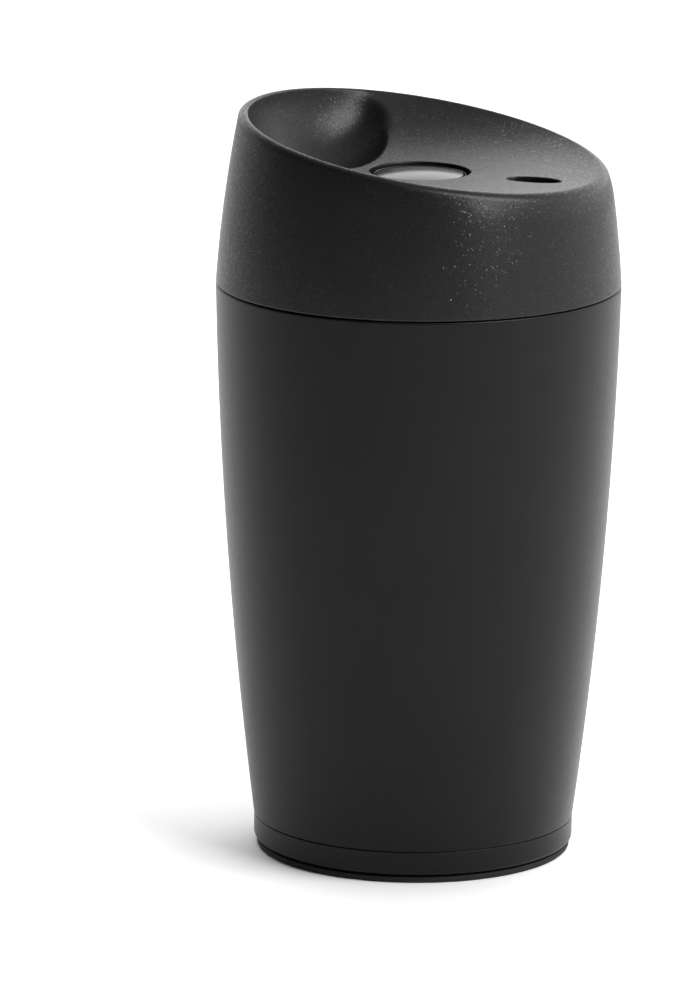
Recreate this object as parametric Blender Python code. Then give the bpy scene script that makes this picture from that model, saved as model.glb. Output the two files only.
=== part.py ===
"""An insulated travel mug with a slanted push-button lid.

Metres, +Z up. The origin is the centre of the foot's underside, and +X points to the lid's low side,
where the sip hole is. The lid unscrews from the cup, and its button opens and closes a valve under it
through a push-push latch. Everything is shown closed: lid screwed down, button up, valve shut.
"""

import math

import bmesh
import bpy

# Driving dimensions
GAP = 0.0003  # between pieces that touch on the real mug
CUP_TOP = 0.1198  # top edge of the cup's outer shell
LID_BOTTOM = 0.1202  # lower edge of the lid's outer shell
SEAM = 0.120  # the height that both side profiles are measured from
SEAM_RADIUS = 0.042
CUP_SLOPE = 0.0206  # how fast the cup narrows just below the seam
CUP_ARC_RADIUS = 1.031  # the side wall's own curvature
LID_SLOPE = 0.0651
LID_ARC_RADIUS = 0.2766
RIM_HEIGHT = 0.14985  # the slanted rim's plane, over the axis
RIM_SLOPE = 0.1687  # how much the rim falls for each metre towards +X
DISH_FLOOR = 0.143
DISH_POWER = 2.6  # how steeply the dish rises towards the rim
THREAD_LEAD = 0.020
THREAD_STARTS = 4
RIDGE_BASE = 0.0018
RIDGE_TIP = 0.0009
RIDGE_STEP = 0.0014  # the core's ridges sit this far under the collar's

# Round bodies are faceted with these many sides
SIDES = 40
SMALL_SIDES = 28

# Cup
SHELL_WALL = 0.0020
BASE_TOP = 0.0068  # parting line between the base cap and the cup's shell
BASE_BOTTOM = 0.0016
BASE_RADIUS = 0.0334
PAD_TOP = 0.0013
PAD_RADIUS = 0.0328
LEDGE_TOP = 0.1048  # ledge inside the shell that carries the liner's flange
LINER_WALL = 0.0008
LINER_INSET = 0.0070  # from the cup's outer side to the liner's inner face
LINER_FLOOR = 0.0090
COLLAR_BOTTOM = 0.1075
COLLAR_TOP = 0.1188
COLLAR_RADIUS = 0.0393
COLLAR_ROOT = 0.0368  # thread root in the collar
COLLAR_CREST = 0.0356
COLLAR_RIDGE_HEIGHT = 0.1131

# Lid
LID_WALL = 0.0022
LID_SKIN = 0.0020  # thickness of the dished top
LIP_WIDTH = 0.0018
SKIRT_BOTTOM = 0.1080
SKIRT_RADIUS = 0.0352
SKIRT_CREST = 0.0364
CORE_WALL = 0.0020
FLANGE_BOTTOM = 0.1210
FLANGE_TOP = 0.1230
FLANGE_RADIUS = 0.0390
PORT_RADIUS = 0.0100
SEAT_BOTTOM = 0.1070
SCOOP_CENTRE = (-0.0212, 0.0, 0.156)
SCOOP_SEMI_AXES = (0.0136, 0.0262, 0.0165)
SIP_CENTRE_X = 0.0256
SIP_SEMI_AXES = (0.0060, 0.0030)
WELL_RADIUS = 0.0105
BOSS_RADIUS = 0.0120
BOSS_BOTTOM = 0.1200

# Latch, plunger and valve
HOUSING_TOP = 0.1340
HOUSING_RADIUS = 0.0100
HOUSING_BORE = 0.0082
SPRING_TOWER_RADIUS = 0.0080
SPRING_TOWER_BORE = 0.0066
HOUSING_FLOOR = 0.1130
HOUSING_FLOOR_TOP = 0.1144
SEAL_POCKET_BOTTOM = 0.1104
SPLINE_BOTTOM = 0.1270
SPLINE_TOP = 0.1335
SPLINE_INNER = 0.0067
SPLINE_HALF_ANGLE = math.radians(29)
SPLINES = 4
STEM_RADIUS = 0.0022
STEM_BORE = 0.00255  # hole in the pieces that slide on the stem
STEM_BOTTOM = 0.1057
STEM_TOP = 0.1385
BUTTON_RADIUS = 0.0096
BUTTON_EDGE = 0.1424
BUTTON_TOP = 0.1431
ROTOR_BOTTOM = 0.1272
ROTOR_RADIUS = 0.0063
CROWN_BOTTOM = 0.1318
RIB_ANGLE = math.radians(-10)  # where the first of the rotor's ribs stands
DISC_RADIUS = 0.0130
DISC_BOTTOM = 0.1034
DISC_TOP = 0.1054


# ------------------------------------------------------------------------------------------ helpers


def clear_scene():
    for obj in list(bpy.data.objects):
        bpy.data.objects.remove(obj)


def material(name, colour, roughness, metallic=0.0):
    made = bpy.data.materials.new(name)
    made.use_nodes = True
    shader = made.node_tree.nodes["Principled BSDF"]
    shader.inputs["Base Color"].default_value = (*colour, 1.0)
    shader.inputs["Roughness"].default_value = roughness
    shader.inputs["Metallic"].default_value = metallic
    return made


def place(name, bm, finish):
    """Makes a named object from the bmesh, with its faces pointing out, and shades it smooth."""
    bmesh.ops.recalc_face_normals(bm, faces=bm.faces)
    mesh = bpy.data.meshes.new(name)
    bm.to_mesh(mesh)
    bm.free()
    mesh.shade_smooth()
    mesh.set_sharp_from_angle(angle=math.radians(30))
    obj = bpy.data.objects.new(name, mesh)
    bpy.context.scene.collection.objects.link(obj)
    if finish is not None:
        mesh.materials.append(finish)
    return obj


def helper(obj):
    """Marks a cutter or an added shape, which isn't a piece of its own."""
    obj.hide_render = True
    obj.display_type = "WIRE"
    return obj


def combine(obj, other, operation):
    boolean = obj.modifiers.new(operation.lower(), "BOOLEAN")
    boolean.operation = operation
    boolean.solver = "EXACT"
    boolean.object = helper(other)
    return obj


def arc(centre, radius, start, end, steps):
    """Points of an arc in the (radius, height) plane, its angles in degrees from the outward direction."""
    turns = [math.radians(start + (end - start) * i / steps) for i in range(steps + 1)]
    return [(centre[0] + radius * math.cos(t), centre[1] + radius * math.sin(t)) for t in turns]


def spread(low, high, steps):
    return [low + (high - low) * i / steps for i in range(steps + 1)]


def spin_outline(bm, outline, sides):
    """Turns a (radius, height) outline about the Z axis. It closes itself unless it ends on the axis."""
    verts = [bm.verts.new((r, 0, z)) for r, z in outline]
    on_axis = outline[0][0] == 0 and outline[-1][0] == 0
    following = verts[1:] if on_axis else verts[1:] + verts[:1]
    edges = [bm.edges.new(pair) for pair in zip(verts, following)]
    bmesh.ops.spin(
        bm, geom=verts + edges, cent=(0, 0, 0), axis=(0, 0, 1),
        angle=2 * math.pi, steps=sides, use_merge=True,
    )
    bmesh.ops.remove_doubles(bm, verts=bm.verts, dist=1e-7)


def turned(name, outline, finish=None, sides=SIDES):
    bm = bmesh.new()
    spin_outline(bm, outline, sides)
    return place(name, bm, finish)


def ring(name, inner, outer, bottom, top, finish=None, sides=SIDES, chamfer=0.0):
    """A plain turned ring, with its four edges chamfered if asked."""
    c = chamfer
    if c:
        outline = [
            (inner + c, bottom), (outer - c, bottom), (outer, bottom + c), (outer, top - c),
            (outer - c, top), (inner + c, top), (inner, top - c), (inner, bottom + c),
        ]
    else:
        outline = [(inner, bottom), (outer, bottom), (outer, top), (inner, top)]
    return turned(name, outline, finish, sides)


def cylinder(name, radius, bottom, top, finish=None, sides=SIDES):
    return turned(name, [(0, bottom), (radius, bottom), (radius, top), (0, top)], finish, sides)


def sector(bm, inner, outer, bottom, top, middle, half_angle, steps=4):
    """A block that follows an arc round the Z axis."""
    start = middle - half_angle
    corners = [(inner, bottom), (outer, bottom), (outer, top), (inner, top)]
    verts = [
        bm.verts.new((r * math.cos(start), r * math.sin(start), z)) for r, z in corners
    ]
    face = bm.faces.new(verts)
    bmesh.ops.spin(
        bm, geom=[face, *face.edges, *verts], cent=(0, 0, 0), axis=(0, 0, 1),
        angle=2 * half_angle, steps=steps,
    )


def helical_ridge(bm, root, crest, middle_height, middle_angle, half_angle, base, tip):
    """One thread ridge: a trapezoid, base wide at its root and tip wide at its crest, along a helix."""
    steps = 14
    start = middle_angle - half_angle
    start_height = middle_height - THREAD_LEAD * half_angle / (2 * math.pi)
    corners = [
        (root, start_height - base / 2), (crest, start_height - tip / 2),
        (crest, start_height + tip / 2), (root, start_height + base / 2),
    ]
    verts = [
        bm.verts.new((r * math.cos(start), r * math.sin(start), z)) for r, z in corners
    ]
    face = bm.faces.new(verts)
    rise = THREAD_LEAD * 2 * half_angle / (2 * math.pi) / steps
    bmesh.ops.spin(
        bm, geom=[face, *face.edges, *verts], cent=(0, 0, 0), axis=(0, 0, 1),
        dvec=(0, 0, rise), angle=2 * half_angle, steps=steps,
    )


def thread_ridges(name, root, crest, middle_height, base, tip, half_angle):
    """One ridge for each start of the thread, evenly round the axis."""
    bm = bmesh.new()
    for start in range(THREAD_STARTS):
        angle = 2 * math.pi * start / THREAD_STARTS
        helical_ridge(bm, root, crest, middle_height, angle, half_angle, base, tip)
    return place(name, bm, None)


# --------------------------------------------------------------------------------------- side profiles


def cup_side(z):
    """Radius of the cup's outer side at a height."""
    below = SEAM - z
    return SEAM_RADIUS - CUP_SLOPE * below - below**2 / (2 * CUP_ARC_RADIUS)


def lid_side(z):
    """Radius of the lid's outer side at a height."""
    above = z - SEAM
    return SEAM_RADIUS - LID_SLOPE * above - above**2 / (2 * LID_ARC_RADIUS)


# ------------------------------------------------------------------------------------------------- cup


def make_foot_pad(rubber):
    """Anti-slip ring under the base, with a locating rib in the base cap's groove."""
    inner, rib_inner, rib_outer, rib_top = 0.0220, 0.0260, 0.0290, 0.0024
    edge = 0.0004
    outline = [
        (inner, 0), (PAD_RADIUS - edge, 0), (PAD_RADIUS, edge), (PAD_RADIUS, PAD_TOP),
        (rib_outer, PAD_TOP), (rib_outer, rib_top), (rib_inner, rib_top),
        (rib_inner, PAD_TOP), (inner, PAD_TOP),
    ]
    turned("foot_pad", outline, rubber)


def make_base_cap(plastic):
    """Moulded cap that closes the shell: a visible band, a floor, and a spigot inside the shell."""
    edge = 0.0010
    groove_inner, groove_outer, groove_top = 0.0257, 0.0293, 0.0027
    floor_top, spigot_top = 0.0047, 0.0120
    spigot_outer = cup_side(BASE_TOP) - SHELL_WALL - GAP
    spigot_inner = spigot_outer - 0.0016
    outline = [
        (0, BASE_BOTTOM), (groove_inner, BASE_BOTTOM), (groove_inner, groove_top),
        (groove_outer, groove_top), (groove_outer, BASE_BOTTOM),
        *arc((BASE_RADIUS - edge, BASE_BOTTOM + edge), edge, -90, 0, 3),
        (BASE_RADIUS, BASE_TOP - GAP), (spigot_outer, BASE_TOP - GAP),
        (spigot_outer, spigot_top), (spigot_inner, spigot_top), (spigot_inner, floor_top),
        (0, floor_top),
    ]
    turned("base_cap", outline, plastic)


def make_cup_shell(plastic):
    """Tapered outer wall of the cup, with the ledge inside that carries the liner."""
    edge = 0.0004
    ledge_inner, ledge_bottom, ledge_root = 0.0370, 0.1034, 0.1006
    outer = [(cup_side(z), z) for z in spread(BASE_TOP, CUP_TOP - edge, 9)]
    inner_high = [(cup_side(z) - SHELL_WALL, z) for z in (CUP_TOP, LEDGE_TOP)]
    inner_low = [(cup_side(z) - SHELL_WALL, z) for z in spread(ledge_root, BASE_TOP, 5)]
    outline = [
        *outer, (cup_side(CUP_TOP) - edge, CUP_TOP), *inner_high,
        (ledge_inner, LEDGE_TOP), (ledge_inner, ledge_bottom), *inner_low,
    ]
    turned("cup_shell", outline, plastic)


def make_cup_liner(steel):
    """Deep-drawn inner cup with a flat flange at its mouth."""
    corner = 0.0060
    flange_outer, flange_bottom = 0.0386, LEDGE_TOP + GAP
    flange_top = flange_bottom + LINER_WALL
    low = LINER_FLOOR + corner

    def inner_face(z):
        return cup_side(z) - LINER_INSET

    heights = spread(flange_top, low, 5)
    corner_centre = (inner_face(low) - corner, low)
    inside = [
        *[(inner_face(z), z) for z in heights],
        *arc(corner_centre, corner, 0, -90, 4)[1:],
        (0, LINER_FLOOR),
    ]
    outside = [
        (0, LINER_FLOOR - LINER_WALL),
        *arc(corner_centre, corner + LINER_WALL, -90, 0, 4)[:-1],
        *[(inner_face(z) + LINER_WALL, z) for z in spread(low, flange_bottom, 5)],
        (flange_outer, flange_bottom), (flange_outer, flange_top),
    ]
    turned("cup_liner", outside + inside, steel)


def make_liner_seal(silicone):
    bottom = LEDGE_TOP + GAP + LINER_WALL + GAP
    ring("liner_seal", 0.0354, 0.0384, bottom, COLLAR_BOTTOM - GAP, silicone)


def make_threaded_collar(plastic):
    """Ring inside the cup's mouth with the female thread."""
    edge = 0.0006
    outline = [
        (COLLAR_ROOT, COLLAR_BOTTOM), (COLLAR_RADIUS, COLLAR_BOTTOM), (COLLAR_RADIUS, COLLAR_TOP),
        (COLLAR_ROOT + edge, COLLAR_TOP), (COLLAR_ROOT, COLLAR_TOP - edge),
    ]
    collar = turned("threaded_collar", outline, plastic)
    ridges = thread_ridges(
        "collar_ridges", COLLAR_ROOT + 0.0006, COLLAR_CREST, COLLAR_RIDGE_HEIGHT,
        RIDGE_BASE, RIDGE_TIP, math.radians(58),
    )
    combine(collar, ridges, "UNION")


# ------------------------------------------------------------------------------------------------- lid


def rim_at(angle):
    """(radius, height) of the slanted rim's outer edge in one direction."""
    height = RIM_HEIGHT
    for _ in range(20):
        height = RIM_HEIGHT - RIM_SLOPE * lid_side(height) * math.cos(angle)
    return lid_side(height), height


def dish_height(x, y):
    """The lid's dished top, rising from its floor to the inner edge of the rim."""
    distance = math.hypot(x, y)
    if distance < 1e-9:
        return DISH_FLOOR
    radius, height = rim_at(math.atan2(y, x))
    share = min(distance / (radius - LIP_WIDTH), 1.0)
    return DISH_FLOOR + (height - DISH_FLOOR) * share**DISH_POWER


def scoop_underside(x, y):
    """Height of the inside of the scoop's wall, or infinity away from the scoop."""
    semi_axes = [a + LID_SKIN for a in SCOOP_SEMI_AXES]
    left = 1 - ((x - SCOOP_CENTRE[0]) / semi_axes[0]) ** 2 - (y / semi_axes[1]) ** 2
    return SCOOP_CENTRE[2] - semi_axes[2] * math.sqrt(left) if left > 0 else math.inf


def underside(x, y):
    return min(dish_height(x, y) - LID_SKIN, scoop_underside(x, y))


def lid_meridian(angle):
    """The lid shell's outline in one direction, from the dish's centre out, down and back inside."""
    rim_radius, rim_height = rim_at(angle)
    inner_edge = rim_radius - LIP_WIDTH
    along = (math.cos(angle), math.sin(angle))

    def over(radius, height_of):
        return radius, height_of(radius * along[0], radius * along[1])

    dish = [over(inner_edge * share, dish_height) for share in (0.25, 0.45, 0.62, 0.77, 0.90, 1.0)]
    lip_rise = 0.0005
    lip = [
        (inner_edge + 0.0004, rim_height + 0.7 * lip_rise),
        (rim_radius - 0.0008, rim_height + lip_rise),
        (rim_radius - 0.0002, rim_height + 0.4 * lip_rise),
    ]
    heights = spread(rim_height - 0.0010, LID_BOTTOM + 0.0004, 5)
    side = [(lid_side(z), z) for z in heights]
    foot = [(lid_side(LID_BOTTOM) - 0.0004, LID_BOTTOM)]

    bead_radius, bead_top = 0.0387, 0.1207
    ledge_bottom, ledge_top, ledge_root, ledge_inner = 0.1250, 0.1264, 0.1290, 0.0358
    wall_top = rim_height - 0.0060
    for _ in range(20):
        wall_top = underside(*[(lid_side(wall_top) - LID_WALL) * a for a in along])
    inside = [
        (bead_radius, LID_BOTTOM), (bead_radius, bead_top),
        (lid_side(bead_top) - LID_WALL, bead_top),
        (lid_side(ledge_bottom) - LID_WALL, ledge_bottom),
        (ledge_inner, ledge_bottom), (ledge_inner, ledge_top),
        (lid_side(ledge_root) - LID_WALL, ledge_root),
        (lid_side(wall_top) - LID_WALL, wall_top),
    ]
    ceiling_edge = lid_side(wall_top) - LID_WALL
    ceiling = [over(ceiling_edge * share, underside) for share in (0.88, 0.74, 0.58, 0.42, 0.25)]
    return dish + lip + side + foot + inside + ceiling


def make_lid_shell(plastic):
    """Outer cover of the lid: slanted rim, dished top with a scoop, button well and sip hole."""
    angles = [2 * math.pi * i / SIDES for i in range(SIDES)]
    meridians = [lid_meridian(a) for a in angles]
    bm = bmesh.new()
    columns = [
        [bm.verts.new((r * math.cos(a), r * math.sin(a), z)) for r, z in meridian]
        for a, meridian in zip(angles, meridians)
    ]
    top = bm.verts.new((0, 0, dish_height(0, 0)))
    bottom = bm.verts.new((0, 0, underside(0, 0)))
    for here, there in zip(columns, columns[1:] + columns[:1]):
        bm.faces.new((top, here[0], there[0]))
        bm.faces.new((bottom, there[-1], here[-1]))
        for i in range(len(here) - 1):
            bm.faces.new((here[i], here[i + 1], there[i + 1], there[i]))
    lid = place("lid_shell", bm, plastic)

    scoop_mesh = bmesh.new()
    bmesh.ops.create_uvsphere(scoop_mesh, u_segments=36, v_segments=20, radius=1.0)
    bmesh.ops.scale(scoop_mesh, vec=SCOOP_SEMI_AXES, verts=scoop_mesh.verts)
    bmesh.ops.translate(scoop_mesh, vec=SCOOP_CENTRE, verts=scoop_mesh.verts)
    combine(lid, place("scoop_cutter", scoop_mesh, None), "DIFFERENCE")

    boss_top = DISH_FLOOR - LID_SKIN / 2
    boss = cylinder("button_boss", BOSS_RADIUS, BOSS_BOTTOM, boss_top, sides=SMALL_SIDES)
    combine(lid, boss, "UNION")
    well = cylinder("well_cutter", WELL_RADIUS, BOSS_BOTTOM - 0.002, 0.160, sides=SMALL_SIDES)
    combine(lid, well, "DIFFERENCE")

    sip_mesh = bmesh.new()
    bmesh.ops.create_cone(
        sip_mesh, cap_ends=True, segments=24, radius1=1.0, radius2=1.0, depth=0.020
    )
    bmesh.ops.scale(sip_mesh, vec=(*SIP_SEMI_AXES, 1), verts=sip_mesh.verts)
    bmesh.ops.translate(sip_mesh, vec=(SIP_CENTRE_X, 0, DISH_FLOOR), verts=sip_mesh.verts)
    combine(lid, place("sip_cutter", sip_mesh, None), "DIFFERENCE")


def make_lid_core(plastic):
    """Screw-in body of the lid: threaded skirt, flange, and a floor with the valve port."""
    floor_top = SKIRT_BOTTOM + CORE_WALL
    seat_outer = PORT_RADIUS + 0.0014
    edge = 0.0008
    bore = SKIRT_RADIUS - CORE_WALL
    outline = [
        (PORT_RADIUS, SEAT_BOTTOM), (seat_outer, SEAT_BOTTOM), (seat_outer, SKIRT_BOTTOM),
        (SKIRT_RADIUS - edge, SKIRT_BOTTOM), (SKIRT_RADIUS, SKIRT_BOTTOM + edge),
        (SKIRT_RADIUS, FLANGE_BOTTOM), (FLANGE_RADIUS, FLANGE_BOTTOM),
        (FLANGE_RADIUS, FLANGE_TOP), (bore, FLANGE_TOP), (bore, floor_top),
        (PORT_RADIUS, floor_top),
    ]
    core = turned("lid_core", outline, plastic)
    ridges = thread_ridges(
        "core_ridges", SKIRT_RADIUS - 0.0006, SKIRT_CREST,
        COLLAR_RIDGE_HEIGHT - RIDGE_STEP, RIDGE_BASE, RIDGE_TIP, math.radians(50),
    )
    combine(core, ridges, "UNION")


def make_lid_seal(silicone):
    """Gasket under the lid's flange, which the collar's top edge squeezes."""
    ring("lid_seal", 0.0357, 0.0384, COLLAR_TOP + GAP, FLANGE_BOTTOM - GAP, silicone)


def make_lid_joint_seal(silicone):
    """Ring that seals the screw-in core to the lid's outer cover."""
    ring("lid_joint_seal", 0.0362, 0.0384, FLANGE_TOP + GAP, 0.1247, silicone)


# ------------------------------------------------------------------------- latch, plunger and valve


def make_latch_housing(plastic):
    """Sleeve in the button's well: splines for the latch above, the spring's tower below."""
    flange_radius, flange_top = BOSS_RADIUS, BOSS_BOTTOM - GAP
    flange_bottom = 0.1180
    pocket_radius, pocket_wall = 0.0053, 0.0068
    outline = [
        (STEM_BORE, HOUSING_FLOOR), (pocket_radius, HOUSING_FLOOR),
        (pocket_radius, SEAL_POCKET_BOTTOM), (pocket_wall, SEAL_POCKET_BOTTOM),
        (pocket_wall, HOUSING_FLOOR), (SPRING_TOWER_RADIUS, HOUSING_FLOOR),
        (SPRING_TOWER_RADIUS, flange_bottom), (flange_radius, flange_bottom),
        (flange_radius, flange_top), (HOUSING_RADIUS, flange_top), (HOUSING_RADIUS, HOUSING_TOP),
        (HOUSING_BORE, HOUSING_TOP), (HOUSING_BORE, 0.1215), (SPRING_TOWER_BORE, 0.1205),
        (SPRING_TOWER_BORE, HOUSING_FLOOR_TOP), (STEM_BORE, HOUSING_FLOOR_TOP),
    ]
    housing = turned("latch_housing", outline, plastic, SMALL_SIDES)
    bm = bmesh.new()
    for i in range(SPLINES):
        middle = 2 * math.pi * (i + 0.5) / SPLINES
        sector(
            bm, SPLINE_INNER, HOUSING_BORE + 0.0005, SPLINE_BOTTOM, SPLINE_TOP, middle,
            SPLINE_HALF_ANGLE,
        )
    combine(housing, place("splines", bm, None), "UNION")


def make_latch_rotor(plastic):
    """Cam ring that steps round at each press. Its ribs run in the slots between the splines."""
    rib_outer, rib_top = 0.0077, 0.1310
    shoulder, tooth_top, teeth_inner = 0.1308, 0.1315, 0.0046
    outline = [
        (STEM_BORE, ROTOR_BOTTOM), (ROTOR_RADIUS, ROTOR_BOTTOM), (ROTOR_RADIUS, shoulder),
        (STEM_BORE, shoulder),
    ]
    rotor = turned("latch_rotor", outline, plastic, SMALL_SIDES)
    bm = bmesh.new()
    for i in range(SPLINES):
        middle = 2 * math.pi * i / SPLINES + RIB_ANGLE
        sector(
            bm, ROTOR_RADIUS - 0.0006, rib_outer, ROTOR_BOTTOM, rib_top, middle,
            math.radians(4.8), 2,
        )
    for i in range(2 * SPLINES):
        middle = math.pi * i / SPLINES + RIB_ANGLE + math.radians(22.5)
        sector(
            bm, teeth_inner, ROTOR_RADIUS - 0.0003, shoulder - 0.0004, tooth_top, middle,
            math.radians(6), 2,
        )
    combine(rotor, place("rotor_ribs", bm, None), "UNION")


def make_return_spring(steel):
    """Compression spring with closed end turns, from the housing's floor to the washer."""
    wire, mean_radius, turns = 0.0008, 0.0050, 5.5
    low = HOUSING_FLOOR_TOP + 0.0002 + wire / 2
    high = 0.1259 - wire / 2
    steps_per_turn = 14
    steps = round(turns * steps_per_turn)

    def height(turn):
        """Half a turn lies flat at each end, and the turns between rise evenly."""
        closed = 0.5
        pitch = (high - low) / (turns - 2 * closed)
        return low + pitch * min(max(turn - closed, 0), turns - 2 * closed)

    curve = bpy.data.curves.new("return_spring", "CURVE")
    curve.dimensions = "3D"
    curve.bevel_depth = wire / 2
    curve.bevel_resolution = 1
    curve.use_fill_caps = True
    spline = curve.splines.new("POLY")
    spline.points.add(steps)
    for i, point in enumerate(spline.points):
        turn = i / steps_per_turn
        angle = 2 * math.pi * turn
        point.co = (
            mean_radius * math.cos(angle), mean_radius * math.sin(angle), height(turn), 1
        )
    curve.materials.append(steel)
    obj = bpy.data.objects.new("return_spring", curve)
    bpy.context.scene.collection.objects.link(obj)


def make_spring_washer(steel):
    ring("spring_washer", STEM_BORE, 0.0061, 0.1262, ROTOR_BOTTOM - GAP, steel, SMALL_SIDES)


def make_stem_seal(silicone):
    """Wiper ring that keeps the drink out of the latch."""
    ring(
        "stem_seal", STEM_BORE, 0.0050, 0.1117, HOUSING_FLOOR - GAP, silicone, SMALL_SIDES, 0.0002
    )


def make_seal_retainer(plastic):
    ring("seal_retainer", 0.0028, 0.0050, 0.1105, 0.1114, plastic, SMALL_SIDES)


def make_plunger_stem(steel):
    """Rod that joins the button to the valve, with a screw hole in its lower end."""
    hole, hole_top, edge = 0.00175, 0.1135, 0.0004
    outline = [
        (hole, STEM_BOTTOM), (STEM_RADIUS, STEM_BOTTOM), (STEM_RADIUS, STEM_TOP - edge),
        (STEM_RADIUS - edge, STEM_TOP), (0, STEM_TOP), (0, hole_top), (hole, hole_top),
    ]
    bm = bmesh.new()
    verts = [bm.verts.new((r, 0, z)) for r, z in outline]
    # The two points on the axis belong to different faces of the rod, so no edge joins them.
    pairs = [(i, (i + 1) % len(verts)) for i in range(len(verts)) if i != 4]
    edges = [bm.edges.new((verts[a], verts[b])) for a, b in pairs]
    bmesh.ops.spin(
        bm, geom=verts + edges, cent=(0, 0, 0), axis=(0, 0, 1),
        angle=2 * math.pi, steps=24, use_merge=True,
    )
    bmesh.ops.remove_doubles(bm, verts=bm.verts, dist=1e-7)
    place("plunger_stem", bm, steel)


def make_button_cap(plastic):
    """Domed push button with a socket for the stem and a keyed crown that drives the rotor."""
    skirt_bottom, skirt_inner = 0.1388, 0.0084
    dome_rise = BUTTON_TOP - BUTTON_EDGE
    dome_radius = (BUTTON_RADIUS**2 + dome_rise**2) / (2 * dome_rise)
    shares = (0.0, 0.35, 0.65, 0.88)
    top = [
        (BUTTON_RADIUS * s, BUTTON_TOP - (dome_radius - math.sqrt(dome_radius**2 - (BUTTON_RADIUS * s) ** 2)))
        for s in shares
    ]
    crown_outer, crown_inner = 0.0061, 0.0045
    socket_top, ceiling = STEM_TOP + GAP, 0.1400
    outline = [
        (0, socket_top), (STEM_BORE, socket_top), (STEM_BORE, 0.1340), (crown_inner, 0.1340),
        (crown_inner, CROWN_BOTTOM), (crown_outer, CROWN_BOTTOM), (crown_outer, ceiling),
        (skirt_inner, ceiling), (skirt_inner, skirt_bottom), (BUTTON_RADIUS, skirt_bottom),
        (BUTTON_RADIUS, BUTTON_EDGE - 0.0004), (BUTTON_RADIUS - 0.0003, BUTTON_EDGE),
        *reversed(top),
    ]
    button = turned("button_cap", outline, plastic, SMALL_SIDES)
    bm = bmesh.new()
    for i in range(SPLINES):
        sector(
            bm, crown_outer - 0.0006, 0.0077, CROWN_BOTTOM + 0.0006, 0.1366,
            2 * math.pi * i / SPLINES, math.radians(6), 2,
        )
    for i in range(2 * SPLINES):
        middle = math.pi * i / SPLINES + RIB_ANGLE + math.radians(11)
        sector(
            bm, crown_inner + 0.0001, crown_outer - 0.0001, CROWN_BOTTOM - 0.0006,
            CROWN_BOTTOM + 0.0004, middle, math.radians(3.5), 2,
        )
    combine(button, place("button_keys", bm, None), "UNION")


def make_valve_disc(plastic):
    """Disc that the spring pulls up against the port, with a hub round the stem's end."""
    screw_hole, hub_inner, hub_outer, hub_top = 0.0018, STEM_BORE, 0.0038, 0.1072
    seal_land, land_top = 0.0091, 0.1061
    outline = [
        (screw_hole, DISC_BOTTOM), (DISC_RADIUS - 0.0008, DISC_BOTTOM),
        (DISC_RADIUS, DISC_BOTTOM + 0.0008), (DISC_RADIUS, DISC_TOP), (seal_land, DISC_TOP),
        (seal_land, land_top), (hub_outer, land_top), (hub_outer, hub_top), (hub_inner, hub_top),
        (hub_inner, DISC_TOP), (screw_hole, DISC_TOP),
    ]
    turned("valve_disc", outline, plastic, SMALL_SIDES)


def make_valve_seal(silicone):
    ring(
        "valve_seal", 0.0094, 0.0124, DISC_TOP + GAP, SEAT_BOTTOM - GAP, silicone, SMALL_SIDES, 0.0002
    )


def make_valve_screw(steel):
    """Pan-head screw that holds the valve disc on the stem."""
    head_radius, head_bottom, shank, tip = 0.0032, 0.1013, 0.00145, 0.1125
    head_top = DISC_BOTTOM - GAP
    outline = [
        (0, head_bottom), (head_radius - 0.0008, head_bottom),
        (head_radius, head_bottom + 0.0007), (head_radius, head_top), (shank, head_top),
        (shank, tip - 0.0006), (shank - 0.0006, tip), (0, tip),
    ]
    screw = turned("valve_screw", outline, steel, 24)
    bm = bmesh.new()
    for size in ((0.0036, 0.0007, 0.0018), (0.0007, 0.0036, 0.0018)):
        made = bmesh.ops.create_cube(bm, size=1.0)
        bmesh.ops.scale(bm, vec=size, verts=made["verts"])
        bmesh.ops.translate(bm, vec=(0, 0, head_bottom), verts=made["verts"])
    cross = place("cross_recess", bm, None)
    combine(screw, cross, "DIFFERENCE").modifiers[-1].use_self = True


# ----------------------------------------------------------------------------------------------- build


def main():
    clear_scene()
    black_shell = material("shell_black", (0.016, 0.016, 0.017), 0.42)
    black_lid = material("lid_black", (0.022, 0.022, 0.023), 0.55)
    black_gloss = material("button_black", (0.020, 0.020, 0.021), 0.22)
    black_rubber = material("foot_rubber", (0.008, 0.008, 0.008), 0.80)
    grey_plastic = material("inner_plastic", (0.045, 0.045, 0.048), 0.50)
    clear_silicone = material("silicone", (0.62, 0.62, 0.60), 0.45)
    steel = material("brushed_steel", (0.60, 0.60, 0.60), 0.30, 1.0)
    spring_steel = material("spring_steel", (0.55, 0.55, 0.56), 0.25, 1.0)

    make_foot_pad(black_rubber)
    make_base_cap(black_shell)
    make_cup_shell(black_shell)
    make_cup_liner(steel)
    make_liner_seal(clear_silicone)
    make_threaded_collar(grey_plastic)

    make_lid_shell(black_lid)
    make_lid_core(grey_plastic)
    make_lid_seal(clear_silicone)
    make_lid_joint_seal(clear_silicone)

    make_latch_housing(grey_plastic)
    make_latch_rotor(grey_plastic)
    make_return_spring(spring_steel)
    make_spring_washer(spring_steel)
    make_stem_seal(clear_silicone)
    make_seal_retainer(grey_plastic)
    make_plunger_stem(spring_steel)
    make_button_cap(black_gloss)
    make_valve_disc(grey_plastic)
    make_valve_seal(clear_silicone)
    make_valve_screw(spring_steel)


main()
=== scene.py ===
"""Looks of the insulated travel mug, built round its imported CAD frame.

Metres, +Z up. The origin is the centre of the foot's underside, and +X points to the lid's low
side.
"""

import math

import bmesh
import bpy
import numpy as np
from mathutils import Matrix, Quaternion, Vector


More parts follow.
